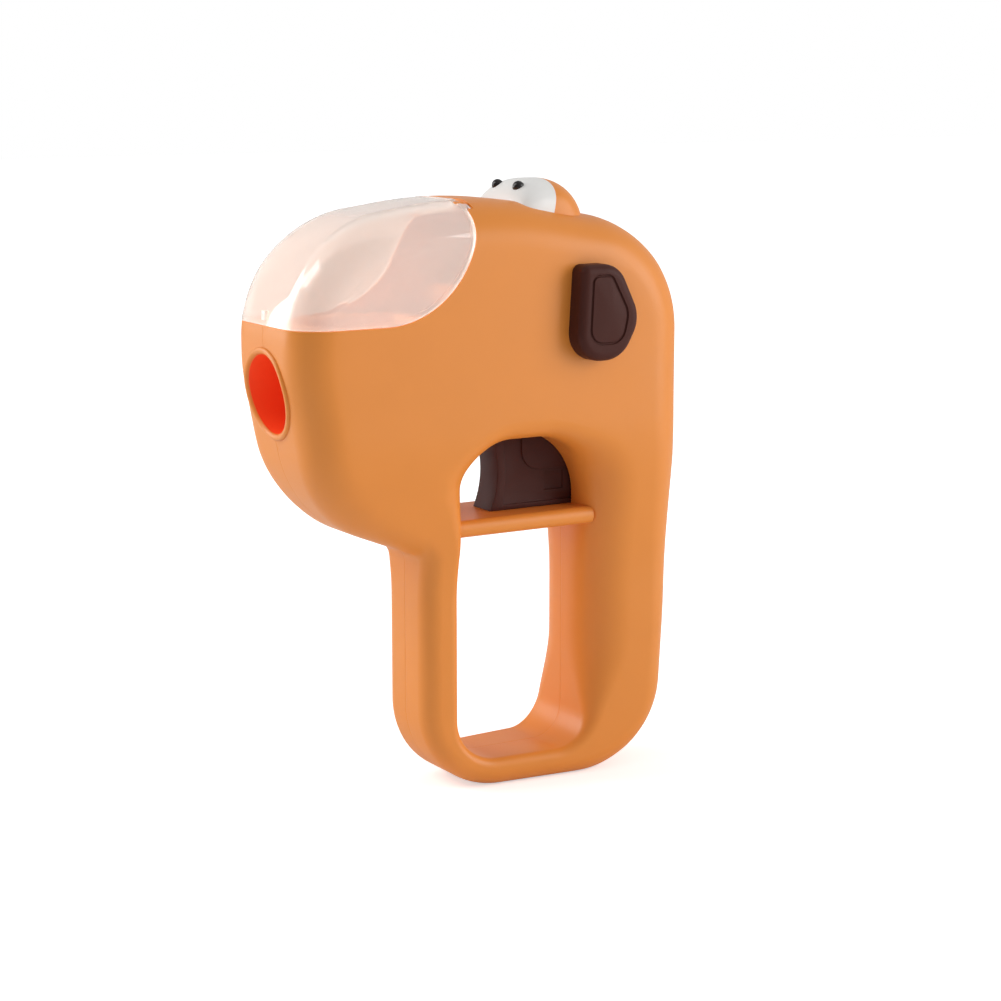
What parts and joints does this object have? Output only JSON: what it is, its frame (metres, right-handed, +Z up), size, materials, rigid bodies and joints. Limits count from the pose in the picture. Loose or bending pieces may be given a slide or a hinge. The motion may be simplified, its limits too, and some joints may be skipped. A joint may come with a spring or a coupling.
{
  "type": "treat launcher",
  "caption": "Hand-held pet treat launcher shaped like a dog's head on a loop handle, with a sliding trigger, a spring plunger in a barrel and a clear flip-up hopper lid.",
  "frame": {"origin": "on the base under the handle, on the mid-plane where the two moulded halves meet", "axes": "+Z up, -X towards the nose and the muzzle, +Y towards the half that takes the screw heads"},
  "size_m": [0.1291, 0.057, 0.175],
  "materials": {
    "orange_plastic": "satin moulded plastic, orange",
    "brown_plastic": "satin moulded plastic, dark brown",
    "clear_plastic": "polished clear plastic",
    "white_plastic": "smooth white plastic",
    "black_plastic": "smooth black plastic",
    "seal_rubber": "smooth black rubber",
    "spring_steel": "drawn spring wire",
    "steel": "zinc-plated steel"
  },
  "bodies": {
    "housing": {"left_shell": "orange_plastic", "right_shell": "orange_plastic", "lid_pin": "steel", "hopper": "orange_plastic", "barrel": "orange_plastic", "barrel_cap": "orange_plastic", "main_spring": "spring_steel", "trigger_spring": "spring_steel", "eye_block": "white_plastic", "left_pupil": "black_plastic", "right_pupil": "black_plastic", "brow_cap": "orange_plastic", "left_ear": "brown_plastic", "right_ear": "brown_plastic", "shell_screws": "steel"},
    "lid": {"lid": "clear_plastic", "lid_tab": "clear_plastic"},
    "trigger": {"trigger": "brown_plastic", "sear_pin": "steel", "sear_spring": "spring_steel"},
    "sear": {"sear": "steel"},
    "plunger": {"plunger": "brown_plastic", "plunger_ring": "seal_rubber", "rod_collar": "steel"}
  },
  "joints": [
    {"name": "lid_hinge", "type": "hinge", "parent": "housing", "child": "lid", "pos_m": [-0.0314, 0, 0.16816], "axis": [0, 1, 0], "range_deg": [0, 95]},
    {"name": "trigger_slide", "type": "slide", "parent": "housing", "child": "trigger", "axis": [1, 0, 0], "range_m": [0, 0.0125], "stiffness_N_per_m": 400, "springref_m": -0.005, "deforming": ["trigger_spring"]},
    {"name": "plunger_slide", "type": "slide", "parent": "housing", "child": "plunger", "axis": [1, 0, 0], "range_m": [0, 0.0125], "stiffness_N_per_m": 600, "springref_m": -0.008, "deforming": ["main_spring"]},
    {"name": "sear_pivot", "type": "hinge", "parent": "trigger", "child": "sear", "pos_m": [0.0175, 0, 0.1065], "axis": [0, -1, 0], "range_deg": [0, 15], "stiffness_Nm_per_rad": 0.002, "springref_deg": -11.46, "deforming": ["sear_spring"]}
  ],
  "couplings": [
    {"joint": "plunger_slide", "follows": "trigger_slide", "ratio": 1}
  ]
}
